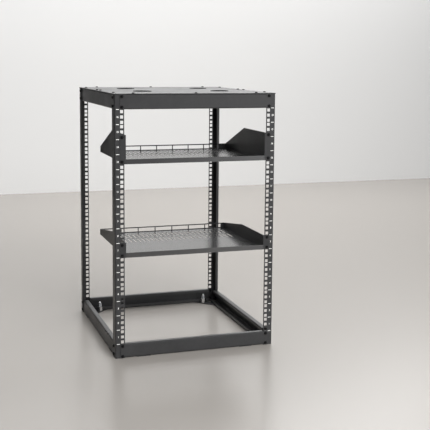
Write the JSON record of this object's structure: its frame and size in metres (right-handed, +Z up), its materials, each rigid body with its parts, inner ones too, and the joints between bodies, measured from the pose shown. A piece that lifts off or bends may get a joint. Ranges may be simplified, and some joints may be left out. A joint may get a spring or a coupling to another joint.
{
  "type": "four post open frame equipment rack",
  "caption": "Open steel rack frame: folded posts with square holes, channel beams, a top panel with cable holes and two vented trays hung on the front posts.",
  "frame": {"origin": "middle of the footprint, on the floor", "axes": "+Z up, +X to the right seen from the front, +Y from the front to the back"},
  "size_m": [0.509, 0.574, 0.8021],
  "materials": {
    "black_powder_coat": "satin black powder coat",
    "bright_zinc": "bright zinc plate"
  },
  "bodies": {
    "root": {"front_left_post": "black_powder_coat", "front_right_post": "black_powder_coat", "rear_left_post": "black_powder_coat", "rear_right_post": "black_powder_coat", "bottom_front_beam": "black_powder_coat", "bottom_rear_beam": "black_powder_coat", "bottom_left_beam": "black_powder_coat", "bottom_right_beam": "black_powder_coat", "top_front_beam": "black_powder_coat", "top_rear_beam": "black_powder_coat", "top_left_beam": "black_powder_coat", "top_right_beam": "black_powder_coat", "top_panel": "black_powder_coat", "front_left_gusset": "black_powder_coat", "front_right_gusset": "black_powder_coat", "rear_left_gusset": "black_powder_coat", "rear_right_gusset": "black_powder_coat", "upper_tray": "black_powder_coat", "lower_tray": "black_powder_coat", "upper_tray_left_side": "black_powder_coat", "upper_tray_right_side": "black_powder_coat", "lower_tray_left_side": "black_powder_coat", "lower_tray_right_side": "black_powder_coat", "front_left_stud": "bright_zinc", "front_right_stud": "bright_zinc", "rear_left_stud": "bright_zinc", "rear_right_stud": "bright_zinc"}
  },
  "joints": []
}
